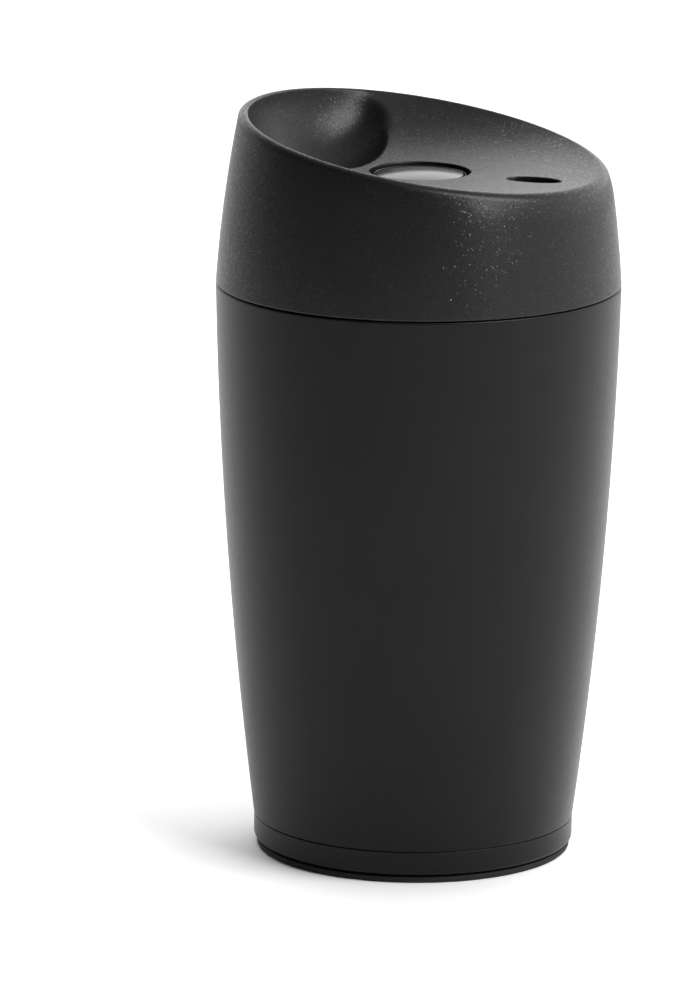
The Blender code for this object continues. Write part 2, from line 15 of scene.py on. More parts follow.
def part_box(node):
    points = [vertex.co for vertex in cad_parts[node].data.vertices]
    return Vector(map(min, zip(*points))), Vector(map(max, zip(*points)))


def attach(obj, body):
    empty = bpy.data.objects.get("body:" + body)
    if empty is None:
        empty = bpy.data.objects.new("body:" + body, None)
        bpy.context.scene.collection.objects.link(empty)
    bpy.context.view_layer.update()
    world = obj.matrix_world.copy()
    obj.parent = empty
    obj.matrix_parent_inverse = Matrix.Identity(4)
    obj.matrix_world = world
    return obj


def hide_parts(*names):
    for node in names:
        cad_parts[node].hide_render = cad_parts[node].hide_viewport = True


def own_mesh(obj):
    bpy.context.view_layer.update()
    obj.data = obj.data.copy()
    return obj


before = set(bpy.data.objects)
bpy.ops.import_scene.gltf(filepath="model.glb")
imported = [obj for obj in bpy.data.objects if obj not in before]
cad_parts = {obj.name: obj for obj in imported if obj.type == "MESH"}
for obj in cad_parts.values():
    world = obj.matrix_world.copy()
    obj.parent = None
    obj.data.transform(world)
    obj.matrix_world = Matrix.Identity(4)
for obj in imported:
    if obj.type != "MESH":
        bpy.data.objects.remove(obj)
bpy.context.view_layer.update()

MM = 0.001
TURN = 2 * math.pi

# Side profiles, as in the CAD: both are measured from the seam between the cup and the lid
SEAM = 0.120
SEAM_RADIUS = 0.042
CUP_SLOPE = 0.0206
CUP_ARC_RADIUS = 1.031
LID_SLOPE = 0.0651
LID_ARC_RADIUS = 0.2766

# The slanted rim, the dished top and what is cut into it
RIM_HEIGHT = 0.14985
RIM_SLOPE = 0.1687
RIM_LIFT = 0.25 * MM  # extra height of the rim at its low side
DISH_FLOOR = 0.1430
DISH_TILT = 0.022
DISH_POWER = 2.6
LIP_WIDTH = 1.8 * MM
LIP_INNER = 0.7 * MM  # from the dish's edge to the lip's crest
RIM_TUCK = 0.9 * MM  # how far the rim curves in at its low side
TUCK_REACH = 6.0 * MM
LID_SKIN = 2.0 * MM
LID_WALL = 2.2 * MM
CREASE_WIDTH = 0.25 * MM  # of the scoop's crease at its middle
CREASE_SPREAD = 1.4 * MM  # what is added to that towards the rim
SCOOP_CENTRE = (-0.0212, 0.0, 0.156)
SCOOP_SEMI_AXES = (0.0136, 0.0266, 0.0165)
SIP_CENTRE_X = 0.0256
SIP_SEMI_AXES = (0.0060, 0.0030)
WELL_RADIUS = 10.5 * MM
WELL_LIP = 0.3 * MM
BOSS_RADIUS = 12.0 * MM
LEDGE_ROOT = 0.1290  # top of the ledge inside the lid's wall
THREAD_LEAD = 20.0 * MM
THREAD_STARTS = 4

# How finely round pieces are divided
FINE = 240
ROUND = 128
SMALL = 72


# ------------------------------------------------------------------------------------ mesh helpers


def low(node):
    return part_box(node)[0].z


def high(node):
    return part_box(node)[1].z


def widest(node):
    return (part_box(node)[1].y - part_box(node)[0].y) / 2


def piece(name, vertices, faces, body, node, finish):
    """A smooth-shaded piece that stands for a CAD node and rides on its body."""
    mesh = bpy.data.meshes.new(name)
    mesh.from_pydata([tuple(v) for v in vertices], [], faces)
    bm = bmesh.new()
    bm.from_mesh(mesh)
    bmesh.ops.recalc_face_normals(bm, faces=bm.faces)
    bm.to_mesh(mesh)
    bm.free()
    mesh.shade_smooth()
    mesh.set_sharp_from_angle(angle=math.radians(38))
    mesh.materials.append(finish)
    obj = bpy.data.objects.new(name, mesh)
    bpy.context.scene.collection.objects.link(obj)
    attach(obj, body)
    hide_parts(node)
    return obj


def rounded(points, steps=4):
    """A polyline whose corners that carry a third value are rounded to that radius.

    Each rounding gets a point just before and after it, which keeps the flat beside it shaded flat.
    """
    out = []
    count = len(points)
    for i, point in enumerate(points):
        corner = np.array(point[:2], float)
        radius = point[2] if len(point) > 2 else 0
        if not radius:
            out.append(tuple(corner))
            continue
        before = np.array(points[i - 1][:2], float) - corner
        after = np.array(points[(i + 1) % count][:2], float) - corner
        room = 0.42 * min(np.linalg.norm(before), np.linalg.norm(after))
        before /= np.linalg.norm(before)
        after /= np.linalg.norm(after)
        half = math.acos(max(-1.0, min(1.0, float(before @ after)))) / 2
        reach = min(radius / math.tan(half), room)
        radius = reach * math.tan(half)
        middle = (before + after) / np.linalg.norm(before + after)
        centre = corner + middle * radius / math.sin(half)
        first = corner + before * reach - centre
        last = corner + after * reach - centre
        sweep = math.atan2(first[0] * last[1] - first[1] * last[0], float(first @ last))
        out.append(tuple(corner + before * reach * 1.15))
        for k in range(steps + 1):
            t = sweep * k / steps
            turned_first = np.array([
                first[0] * math.cos(t) - first[1] * math.sin(t),
                first[0] * math.sin(t) + first[1] * math.cos(t),
            ])
            out.append(tuple(centre + turned_first))
        out.append(tuple(corner + after * reach * 1.15))
    return out


def spread(start, end, steps):
    return [start + (end - start) * i / steps for i in range(steps + 1)]


def bend(start, corner, end, steps=8):
    """Points from start to end that go round a corner on a quarter of an ellipse."""
    points = []
    for t in spread(0, math.pi / 2, steps):
        back, ahead = 1 - math.sin(t), 1 - math.cos(t)
        points.append(tuple(
            c + (s - c) * back + (e - c) * ahead for s, c, e in zip(start, corner, end)
        ))
    return points


def loft(columns, closed_profile=True):
    """Vertices and faces of a ring of columns, each a list of points from one end to the other."""
    rows = len(columns[0])
    vertices = [p for column in columns for p in column]
    faces = []
    last = rows if closed_profile else rows - 1
    for i in range(len(columns)):
        here, there = i * rows, (i + 1) % len(columns) * rows
        for k in range(last):
            m = (k + 1) % rows
            faces.append((here + k, here + m, there + m, there + k))
    return vertices, faces


def turned(name, profile, body, node, finish, sides=ROUND):
    """A turned solid. Its (radius, height) profile closes itself, or ends on the axis."""
    on_axis = profile[0][0] == 0
    ring = profile[1:-1] if on_axis else profile
    columns = []
    for i in range(sides):
        a = TURN * i / sides
        columns.append([(r * math.cos(a), r * math.sin(a), z) for r, z in ring])
    vertices, faces = loft(columns, closed_profile=not on_axis)
    if on_axis:
        rows = len(ring)
        first, last = len(vertices), len(vertices) + 1
        vertices += [(0, 0, profile[0][1]), (0, 0, profile[-1][1])]
        for i in range(sides):
            here, there = i * rows, (i + 1) % sides * rows
            faces.append((first, here, there))
            faces.append((last, there + rows - 1, here + rows - 1))
    return piece(name, vertices, faces, body, node, finish)


# -------------------------------------------------------------------------------- the mug's shapes


def cup_side(z):
    below = SEAM - z
    return SEAM_RADIUS - CUP_SLOPE * below - below**2 / (2 * CUP_ARC_RADIUS)


def lid_side(z):
    above = z - SEAM
    return SEAM_RADIUS - LID_SLOPE * above - above**2 / (2 * LID_ARC_RADIUS)


def low_side(angle):
    """1 on the lid's low side, falling to 0 on its high side."""
    return ((1 + math.cos(angle)) / 2) ** 2


def tuck(angle, below):
    """How far the lid's side curves in near its rim."""
    return RIM_TUCK * low_side(angle) * max(0.0, 1 - below / TUCK_REACH) ** 2


def rim_at(angle):
    """(radius, height) of the slanted rim's outer edge in one direction."""
    height = RIM_HEIGHT
    for _ in range(20):
        radius = lid_side(height) - tuck(angle, 0)
        height = RIM_HEIGHT - RIM_SLOPE * radius * math.cos(angle) + RIM_LIFT * low_side(angle)
    return radius, height


def dish_edge(angle, floor):
    """(radius, height) where the dish meets the rounded lip."""
    radius, height = rim_at(angle)
    inner = radius - LIP_WIDTH
    steepness = DISH_POWER * (height - floor) / inner
    return inner, height - LIP_INNER / 2 * min(steepness, 1)


def smooth_min(a, b, width):
    """The lower of two heights, blended over a width where they cross."""
    share = max(width - abs(a - b), 0) / width
    return min(a, b) - share * share * width / 4


def dish_height(x, y):
    """The lid's dished top without the scoop."""
    floor = DISH_FLOOR + DISH_TILT * x
    radius, height = dish_edge(math.atan2(y, x), floor)
    share = min(math.hypot(x, y) / radius, 1.1)
    return floor + (height - floor) * share**DISH_POWER


def scoop_height(x, y, grow=0.0):
    """The scoop's hollow, or a great height away from it. Grow makes the hollow larger.

    Its front half is an ellipsoid's. Its back half follows the round rim instead.
    """
    a, b, c = (s + grow for s in SCOOP_SEMI_AXES)
    across = (y / b) ** 2
    if across >= 1:
        return 1.0
    if x > SCOOP_CENTRE[0]:
        left = 1 - ((x - SCOOP_CENTRE[0]) / a) ** 2 - across
    else:
        edge = dish_edge(math.atan2(y, x), DISH_FLOOR)[0] + grow
        reach = math.sqrt(edge**2 - y**2) + SCOOP_CENTRE[0]
        left = (1 - ((SCOOP_CENTRE[0] - x) / reach) ** 2) * (1 - across)
    return SCOOP_CENTRE[2] - c * math.sqrt(left) if left > 0 else 1.0


def top_height(x, y):
    """The top as it looks: the scoop's crease is crisp near the middle and soft towards the rim."""
    scoop = scoop_height(x, y)
    if scoop == 1.0:
        return dish_height(x, y)
    width = CREASE_WIDTH + CREASE_SPREAD * min(abs(y) / SCOOP_SEMI_AXES[1], 1.0) ** 3
    return smooth_min(dish_height(x, y), scoop, width)


def under_height(x, y):
    dish = dish_height(x, y) - LID_SKIN
    return min(dish, scoop_height(x, y, LID_SKIN))


# --------------------------------------------------------------------------------------- materials


class Nodes:
    """Short names for building one material's node tree."""

    def __init__(self, name):
        self.material = bpy.data.materials.new(name)
        self.material.use_nodes = True
        self.tree = self.material.node_tree
        self.shader = self.tree.nodes["Principled BSDF"]
        self.place = self.add("ShaderNodeTexCoord").outputs["Object"]

    def add(self, kind, **settings):
        node = self.tree.nodes.new(kind)
        for key, value in settings.items():
            setattr(node, key, value)
        return node

    def link(self, source, target):
        self.tree.links.new(source, target)

    def scaled(self, vector):
        """The piece's own coordinates, stretched along each axis."""
        mapping = self.add("ShaderNodeMapping")
        self.link(self.place, mapping.inputs["Vector"])
        mapping.inputs["Scale"].default_value = vector
        return mapping.outputs["Vector"]

    def noise(self, size, detail=2.0, roughness=0.5, vector=None):
        """Noise whose features are about this large, in metres."""
        node = self.add("ShaderNodeTexNoise")
        self.link(vector or self.place, node.inputs["Vector"])
        node.inputs["Scale"].default_value = 1 / size
        node.inputs["Detail"].default_value = detail
        node.inputs["Roughness"].default_value = roughness
        return node.outputs["Fac"]

    def span(self, source, low_in, high_in, low_out, high_out):
        node = self.add("ShaderNodeMapRange")
        self.link(source, node.inputs["Value"])
        node.inputs["From Min"].default_value = low_in
        node.inputs["From Max"].default_value = high_in
        node.inputs["To Min"].default_value = low_out
        node.inputs["To Max"].default_value = high_out
        return node.outputs["Result"]

    def maths(self, operation, a, b):
        node = self.add("ShaderNodeMath", operation=operation)
        for value, socket in zip((a, b), node.inputs):
            if isinstance(value, (int, float)):
                socket.default_value = value
            else:
                self.link(value, socket)
        return node.outputs["Value"]

    def blend_colour(self, share, first, second):
        node = self.add("ShaderNodeMix", data_type="RGBA")
        self.link(share, node.inputs["Factor"])
        for value, socket in ((first, node.inputs[6]), (second, node.inputs[7])):
            if isinstance(value, tuple):
                socket.default_value = (*value, 1.0)
            else:
                self.link(value, socket)
        return node.outputs[2]

    def bump(self, height, depth, normal=None):
        """Bump of a real depth in metres, for a height from 0 to 1."""
        node = self.add("ShaderNodeBump")
        node.inputs["Distance"].default_value = depth
        self.link(height, node.inputs["Height"])
        if normal is not None:
            self.link(normal, node.inputs["Normal"])
        return node.outputs["Normal"]

    def tilted(self, random_colour, amount):
        """The surface's normal, leaned at random by up to this amount in each grain."""
        centred = self.add("ShaderNodeVectorMath", operation="SUBTRACT")
        self.link(random_colour, centred.inputs[0])
        centred.inputs[1].default_value = (0.5, 0.5, 0.5)
        leaned = self.add("ShaderNodeVectorMath", operation="SCALE")
        self.link(centred.outputs["Vector"], leaned.inputs[0])
        if isinstance(amount, (int, float)):
            leaned.inputs["Scale"].default_value = amount
        else:
            self.link(amount, leaned.inputs["Scale"])
        total = self.add("ShaderNodeVectorMath", operation="ADD")
        self.link(self.add("ShaderNodeNewGeometry").outputs["Normal"], total.inputs[0])
        self.link(leaned.outputs["Vector"], total.inputs[1])
        unit = self.add("ShaderNodeVectorMath", operation="NORMALIZE")
        self.link(total.outputs["Vector"], unit.inputs[0])
        return unit.outputs["Vector"]

    def worn(self, width):
        """1 on outward edges and 0 elsewhere, broken up by a coarse noise."""
        edge = self.span(
            self.add("ShaderNodeNewGeometry").outputs["Pointiness"], 0.53, 0.53 + width, 0, 1
        )
        return self.maths("MULTIPLY", edge, self.span(self.noise(3 * MM), 0.35, 0.65, 0.2, 1))

    def finish(self, colour, roughness, normal, specular=0.5):
        for value, key in ((colour, "Base Color"), (roughness, "Roughness"), (normal, "Normal")):
            if isinstance(value, tuple):
                self.shader.inputs[key].default_value = (*value, 1.0)
            elif isinstance(value, (int, float)):
                self.shader.inputs[key].default_value = value
            else:
                self.link(value, self.shader.inputs[key])
        self.shader.inputs["Specular IOR Level"].default_value = specular
        return self.material


def shell_plastic():
    """Smooth soft-matte black of the cup's shell, with a very fine mould texture."""
    n = Nodes("shell_black")
    tone = n.span(n.noise(18 * MM, 3), 0.3, 0.7, 0, 1)
    colour = n.blend_colour(tone, (0.0040, 0.0040, 0.0042), (0.0052, 0.0052, 0.0054))
    colour = n.blend_colour(n.worn(0.04), colour, (0.012, 0.012, 0.012))
    roughness = n.span(n.noise(1.2 * MM, 4, 0.6), 0.3, 0.7, 0.34, 0.39)
    normal = n.bump(n.noise(0.16 * MM, 2), 0.004 * MM)
    return n.finish(colour, roughness, normal, 0.155)


def lid_plastic():
    """Grained matte black of the lid: fine bright specks show where the light strikes it.

    About two grains in three are flakes, which are smoother and lean at random.
    """
    n = Nodes("lid_black")
    grain = 0.32 * MM
    tone = n.span(n.noise(14 * MM, 3), 0.3, 0.7, 0, 1)
    colour = n.blend_colour(tone, (0.0042, 0.0042, 0.0044), (0.0056, 0.0056, 0.0058))
    colour = n.blend_colour(n.worn(0.05), colour, (0.016, 0.016, 0.017))
    flakes = n.add("ShaderNodeTexVoronoi")
    n.link(n.place, flakes.inputs["Vector"])
    flakes.inputs["Scale"].default_value = 1 / grain
    pick = n.add("ShaderNodeSeparateColor")
    n.link(flakes.outputs["Color"], pick.inputs["Color"])
    chosen = n.span(pick.outputs["Blue"], 0.32, 0.34, 0, 1)
    flake = n.maths("MULTIPLY", chosen, n.span(flakes.outputs["Distance"], 0.34, 0.46, 1, 0))
    colour = n.blend_colour(flake, colour, (0.013, 0.013, 0.013))
    roughness = n.span(flake, 0, 1, 0.38, 0.22)
    normal = n.tilted(flakes.outputs["Color"], n.span(flake, 0, 1, 0, 0.38))
    normal = n.bump(n.noise(0.30 * MM, 3, 0.6), 0.004 * MM, normal)
    return n.finish(colour, roughness, normal, 0.24)


def button_plastic():
    """Smooth satin-gloss black of the button, with faint rubbed streaks."""
    n = Nodes("button_black")
    streaks = n.noise(0.9 * MM, 4, 0.65, n.scaled((1.0, 0.25, 1.0)))
    colour = n.blend_colour(
        n.span(n.noise(5 * MM), 0.3, 0.7, 0, 1), (0.010, 0.010, 0.0105), (0.013, 0.013, 0.0135)
    )
    roughness = n.span(streaks, 0.3, 0.7, 0.17, 0.21)
    normal = n.bump(n.noise(0.9 * MM, 2), 0.0008 * MM)
    return n.finish(colour, roughness, normal, 0.5)


def foot_rubber():
    """Matte rubber with a fine tooth and a little dust in it."""
    n = Nodes("foot_rubber")
    dust = n.span(n.noise(2.5 * MM, 5, 0.7), 0.52, 0.75, 0, 0.5)
    colour = n.blend_colour(dust, (0.008, 0.008, 0.008), (0.026, 0.025, 0.024))
    roughness = n.span(n.noise(0.8 * MM, 3), 0.3, 0.7, 0.72, 0.88)
    normal = n.bump(n.noise(0.20 * MM, 4, 0.7), 0.03 * MM)
    return n.finish(colour, roughness, normal, 0.35)


def inner_plastic(name, dark, light, roughness_low, roughness_high):
    """Moulded inner plastic with soft flow marks and a light spark-eroded texture."""
    n = Nodes(name)
    flow = n.noise(6 * MM, 3, 0.6, n.scaled((1.0, 1.0, 0.35)))
    colour = n.blend_colour(n.span(flow, 0.3, 0.7, 0, 1), dark, light)
    colour = n.blend_colour(n.worn(0.06), colour, tuple(min(1.0, 1.6 * c) for c in light))
    roughness = n.span(n.noise(1.5 * MM, 3), 0.3, 0.7, roughness_low, roughness_high)
    normal = n.bump(n.noise(0.22 * MM, 3), 0.008 * MM)
    return n.finish(colour, roughness, normal, 0.45)


def silicone():
    """Translucent grey silicone: a little light passes through its slightly tacky skin."""
    n = Nodes("silicone")
    colour = n.blend_colour(
        n.span(n.noise(3 * MM, 3), 0.3, 0.7, 0, 1), (0.56, 0.56, 0.55), (0.66, 0.66, 0.64)
    )
    roughness = n.span(n.noise(0.7 * MM, 3), 0.3, 0.7, 0.38, 0.52)
    normal = n.bump(n.noise(0.3 * MM, 3), 0.010 * MM)
    material = n.finish(colour, roughness, normal, 0.5)
    n.shader.inputs["Subsurface Weight"].default_value = 0.25
    n.shader.inputs["Subsurface Radius"].default_value = (0.0015, 0.0013, 0.0012)
    n.shader.inputs["Subsurface Scale"].default_value = 1.0
    return material


def steel(name, around, colour_low, colour_high):
    """Stainless steel with fine lines. Around is how far the lines stretch along each axis."""
    n = Nodes(name)
    lines = n.noise(0.12 * MM, 3, 0.6, n.scaled(around))
    tone = n.span(n.noise(9 * MM, 3), 0.3, 0.7, 0, 1)
    colour = n.blend_colour(tone, colour_low, colour_high)
    roughness = n.span(lines, 0.3, 0.7, 0.22, 0.36)
    normal = n.bump(lines, 0.0025 * MM)
    n.shader.inputs["Metallic"].default_value = 1.0
    return n.finish(colour, roughness, normal, 0.5)


# --------------------------------------------------------------------------------------------- cup


def make_cup_shell(finish):
    """Tapered outer wall, with a fine bevel at the seam and the ledge that carries the liner."""
    top, bottom = high("cup_shell"), low("cup_shell")
    wall, ledge_inner = 2.0 * MM, 0.0370
    ledge_top, ledge_bottom, ledge_root = 0.1048, 0.1034, 0.1006
    outer = [(cup_side(z), z) for z in spread(bottom + 0.6 * MM, top - 0.9 * MM, 60)]
    inner = [(cup_side(z) - wall, z) for z in spread(ledge_root, bottom, 12)]
    profile = [
        (cup_side(bottom) - 0.15 * MM, bottom), (cup_side(bottom), bottom + 0.2 * MM), *outer,
        *rounded([
            (cup_side(top - 0.9 * MM), top - 0.9 * MM), (cup_side(top), top, 0.45 * MM),
            (cup_side(top) - wall, top, 0.25 * MM),
            (cup_side(ledge_top) - wall, ledge_top, 0.2 * MM),
            (ledge_inner, ledge_top, 0.2 * MM), (ledge_inner, ledge_bottom, 0.3 * MM),
            (cup_side(ledge_root) - wall, ledge_root),
        ])[1:-1],
        *inner,
    ]
    turned("cup_outer_wall", profile, "cup", "cup_shell", finish, FINE)


def make_base_cap(finish):
    """Band above the foot, and the cap's floor and spigot inside the shell."""
    bottom, radius = low("base_cap"), widest("base_cap")
    parting = low("cup_shell") - 0.12 * MM
    spigot, spigot_top = cup_side(0.0068) - 2.3 * MM, high("base_cap")
    spigot_wall, floor_top = 1.6 * MM, 4.7 * MM
    groove_inner, groove_outer, groove_top = 25.7 * MM, 29.3 * MM, 2.7 * MM
    profile = rounded([
        (groove_inner, bottom, 0.15 * MM), (groove_inner, groove_top, 0.2 * MM),
        (groove_outer, groove_top, 0.2 * MM), (groove_outer, bottom, 0.15 * MM),
        (radius, bottom, 1.1 * MM), (radius, parting, 0.15 * MM), (spigot, parting, 0.1 * MM),
        (spigot, spigot_top, 0.3 * MM), (spigot - spigot_wall, spigot_top, 0.3 * MM),
        (spigot - spigot_wall, floor_top, 0.4 * MM),
    ], 5)
    underside = [(0, bottom), (10 * MM, bottom), (18 * MM, bottom)]
    profile = [*underside, *profile, (15 * MM, floor_top), (0, floor_top)]
    turned("base_band", profile, "cup", "base_cap", finish, FINE)


def make_foot_pad(finish):
    """Anti-slip ring: a rounded outer edge and shallow grooves turned in its underside."""
    top, radius = 1.3 * MM, widest("foot_pad")
    inner, rib_inner, rib_outer = 22.0 * MM, 26.0 * MM, 29.0 * MM
    grooves = []
    for middle in spread(24.0 * MM, 30.5 * MM, 4):
        grooves += [
            (middle - 0.45 * MM, 0), (middle - 0.25 * MM, 0.3 * MM),
            (middle + 0.25 * MM, 0.3 * MM), (middle + 0.45 * MM, 0),
        ]
    profile = [
        (inner + 0.2 * MM, 0), *grooves,
        *rounded([
            (30.96 * MM, 0), (radius, 0, 0.55 * MM), (radius, top, 0.25 * MM), (rib_outer, top),
        ], 5)[1:],
        (rib_outer, high("foot_pad")), (rib_inner, high("foot_pad")), (rib_inner, top),
        (inner, top), (inner, 0.2 * MM),
    ]
    turned("foot_ring", profile, "cup", "foot_pad", finish, FINE)


def make_liner(finish):
    """Deep-drawn inner cup: rolled mouth flange, tapered wall, radiused corner and domed floor."""
    inset, wall, floor, corner = 7.0 * MM, 0.8 * MM, 9.0 * MM, 6.0 * MM
    flange_bottom, flange_outer = 0.1051, widest("cup_liner")
    start = floor + corner

    def inner_face(z):
        return cup_side(z) - inset

    def turn(radius, first, last):
        centre = inner_face(start) - corner
        angles = [math.radians(a) for a in spread(first, last, 10)]
        return [(centre + radius * math.cos(a), start + radius * math.sin(a)) for a in angles]

    rise = 0.5 * MM
    floor_shares = (0.75, 0.5, 0.25)
    floor_edge = inner_face(start) - corner
    inside_floor = [(floor_edge * s, floor + rise * (1 - s * s)) for s in floor_shares]
    outside_floor = [(r, z - wall) for r, z in reversed(inside_floor)]
    profile = [
        (0, floor + rise - wall), *outside_floor, *turn(corner + wall, -90, 0),
        *[(inner_face(z) + wall, z) for z in spread(start, flange_bottom - 1.2 * MM, 40)[1:]],
        *rounded([
            (inner_face(flange_bottom - 1.2 * MM) + wall, flange_bottom - 1.2 * MM),
            (inner_face(flange_bottom) + wall, flange_bottom, 0.4 * MM),
            (flange_outer, flange_bottom, 0.2 * MM), (flange_outer, flange_bottom + wall, 0.2 * MM),
            (inner_face(flange_bottom), flange_bottom + wall, 0.9 * MM),
            (inner_face(flange_bottom - 2.5 * MM), flange_bottom - 2.5 * MM),
        ])[1:-1],
        *[(inner_face(z), z) for z in spread(flange_bottom - 2.5 * MM, start, 40)[:-1]],
        *turn(corner, 0, -90), *inside_floor, (0, floor + rise),
    ]
    turned("liner", profile, "cup", "cup_liner", finish, FINE)


def soft_ring(name, inner, outer, bottom, top, body, node, finish, sides=ROUND):
    """A seal with well-rounded edges."""
    edge = 0.38 * min(outer - inner, top - bottom)
    profile = rounded([
        (inner, bottom, edge), (outer, bottom, edge), (outer, top, edge), (inner, top, edge),
    ], 5)
    turned(name, profile, body, node, finish, sides)


def make_seal(name, node, body, inner, finish, sides=ROUND):
    soft_ring(name, inner, widest(node), low(node), high(node), body, node, finish, sides)


def ridge_share(height, angle, middle, half_angle, base, tip):
    """How far a thread ridge stands out at a height and angle, from 0 to 1, with tapered ends."""
    best = 0.0
    for start in range(THREAD_STARTS):
        first = TURN * start / THREAD_STARTS
        away = (angle - first + math.pi) % TURN - math.pi
        taper = min(1.0, max(0.0, (half_angle - abs(away)) / math.radians(7)))
        off = abs(height - middle - THREAD_LEAD * away / TURN)
        flank = (base / 2 - off) / ((base - tip) / 2)
        best = max(best, min(1.0, max(0.0, flank)) * taper**0.6)
    return best


def threaded(name, rest_of_profile, face, ridge, body, node, finish):
    """A turned ring whose one upright face carries thread ridges.

    face is (radius, from height, to height) and ridge is (stand-out, middle, half angle).
    """
    radius, start, end = face
    stand_out, middle, half_angle = ridge
    heights = spread(start, end, 84)
    columns = []
    for i in range(FINE):
        a = TURN * i / FINE
        column = []
        for z in heights:
            share = ridge_share(z, a, middle, half_angle, 1.8 * MM, 0.9 * MM)
            r = radius + stand_out * share
            column.append((r * math.cos(a), r * math.sin(a), z))
        column += [(r * math.cos(a), r * math.sin(a), z) for r, z in rest_of_profile]
        columns.append(column)
    vertices, faces = loft(columns)
    piece(name, vertices, faces, body, node, finish)


def make_collar(finish):
    """Ring in the mouth with the female thread."""
    bottom, top, outer, root = 0.1075, 0.1188, 39.3 * MM, 36.8 * MM
    rest = rounded([
        (root, top - 0.6 * MM), (root + 0.6 * MM, top, 0.3 * MM), (outer, top, 0.3 * MM),
        (outer, bottom, 0.2 * MM), (root, bottom),
    ])[1:-1]
    threaded(
        "mouth_collar", rest, (root, bottom, top - 0.6 * MM),
        (-1.2 * MM, 0.1131, math.radians(58)), "cup", "threaded_collar", finish,
    )


# --------------------------------------------------------------------------------------------- lid


def lip_drop(angle):
    """How far the lip's outer rounding reaches down the side."""
    return (1.0 + 0.5 * low_side(angle)) * MM


def lip_rows(angle, dish_end):
    """From the dish over the lip's crest, as far as the lid's side."""
    rim_radius, rim_height = rim_at(angle)
    inner_edge = rim_radius - LIP_WIDTH
    crest = inner_edge + LIP_INNER * (1 - 0.7 * low_side(angle))
    drop = lip_drop(angle)
    side_top = rim_height - drop
    inner = bend(dish_end, ((inner_edge + crest) / 2, rim_height), (crest, rim_height))
    outer = bend(
        (crest, rim_height), (rim_radius, rim_height),
        (lid_side(side_top) - tuck(angle, drop), side_top),
    )
    return inner[1:] + outer[1:-1]


def side_rows(angle):
    """From under the lip down the side, round the foot and up to the ledge inside."""
    rim_height = rim_at(angle)[1]
    foot = low("lid_shell")
    side = [(lid_side(z) - tuck(angle, rim_height - z), z)
            for z in spread(rim_height - lip_drop(angle), foot + 0.8 * MM, 44)]
    bead, bead_top = 38.7 * MM, 0.1207
    skirt = rounded([
        (lid_side(foot + 0.8 * MM), foot + 0.8 * MM), (lid_side(foot), foot, 0.5 * MM),
        (bead, foot, 0.15 * MM), (bead, bead_top), (lid_side(bead_top) - LID_WALL, bead_top),
    ], 4)[1:]
    ledge, ledge_bottom, ledge_top = 35.8 * MM, 0.1250, 0.1264
    return side + skirt + [
        (lid_side(ledge_bottom) - LID_WALL, ledge_bottom), (ledge, ledge_bottom),
        (ledge, ledge_top), (lid_side(LEDGE_ROOT) - LID_WALL, LEDGE_ROOT),
    ]


def well_rows(edge_height):
    """From under the boss up the button's well to its rounded edge."""
    boss_bottom, wall_top = 0.1200, edge_height - 1.0 * MM
    boss = [(BOSS_RADIUS, boss_bottom), (WELL_RADIUS, boss_bottom)]
    wall = [(WELL_RADIUS, z) for z in spread(boss_bottom, wall_top, 8)[1:]]
    edge = rounded([
        (WELL_RADIUS, wall_top), (WELL_RADIUS, edge_height - 0.02 * MM, 0.28 * MM),
        (WELL_RADIUS + WELL_LIP + 0.5 * MM, edge_height + 0.02 * MM),
    ], 5)[1:-2]
    return boss + wall + edge


def lid_columns():
    """The lid cover's outline in every direction, and where its dish and ceiling rows lie."""
    dish_steps, ceiling_steps = 80, 64
    well_edge = WELL_RADIUS + WELL_LIP
    columns = []
    for i in range(FINE):
        angle = TURN * i / FINE
        along = (math.cos(angle), math.sin(angle))

        def over(radius, height_of):
            return radius, height_of(radius * along[0], radius * along[1])

        rim_radius, rim_height = rim_at(angle)
        inner_edge = rim_radius - LIP_WIDTH
        dish = [over(inner_edge - (inner_edge - well_edge) * (1 - s) ** 1.5, top_height)
                for s in spread(0, 1, dish_steps)]
        outline = dish + lip_rows(angle, dish[-1]) + side_rows(angle)

        wall_top = rim_height - 6 * MM
        for _ in range(20):
            inside = lid_side(wall_top) - LID_WALL
            wall_top = over(inside, under_height)[1]
        outline += [(lid_side(z) - LID_WALL, z) for z in spread(LEDGE_ROOT, wall_top, 6)[1:-1]]

        ceiling_start = len(outline)
        ceiling_edge = lid_side(wall_top) - LID_WALL
        outline += [
            over(ceiling_edge + (BOSS_RADIUS - ceiling_edge) * s / ceiling_steps, under_height)
            for s in range(ceiling_steps + 1)
        ]
        outline += well_rows(over(well_edge, top_height)[1])
        columns.append([(r * along[0], r * along[1], z) for r, z in outline])
    rows = {
        "dish": (0, dish_steps), "ceiling": (ceiling_start, ceiling_start + ceiling_steps),
    }
    return columns, rows


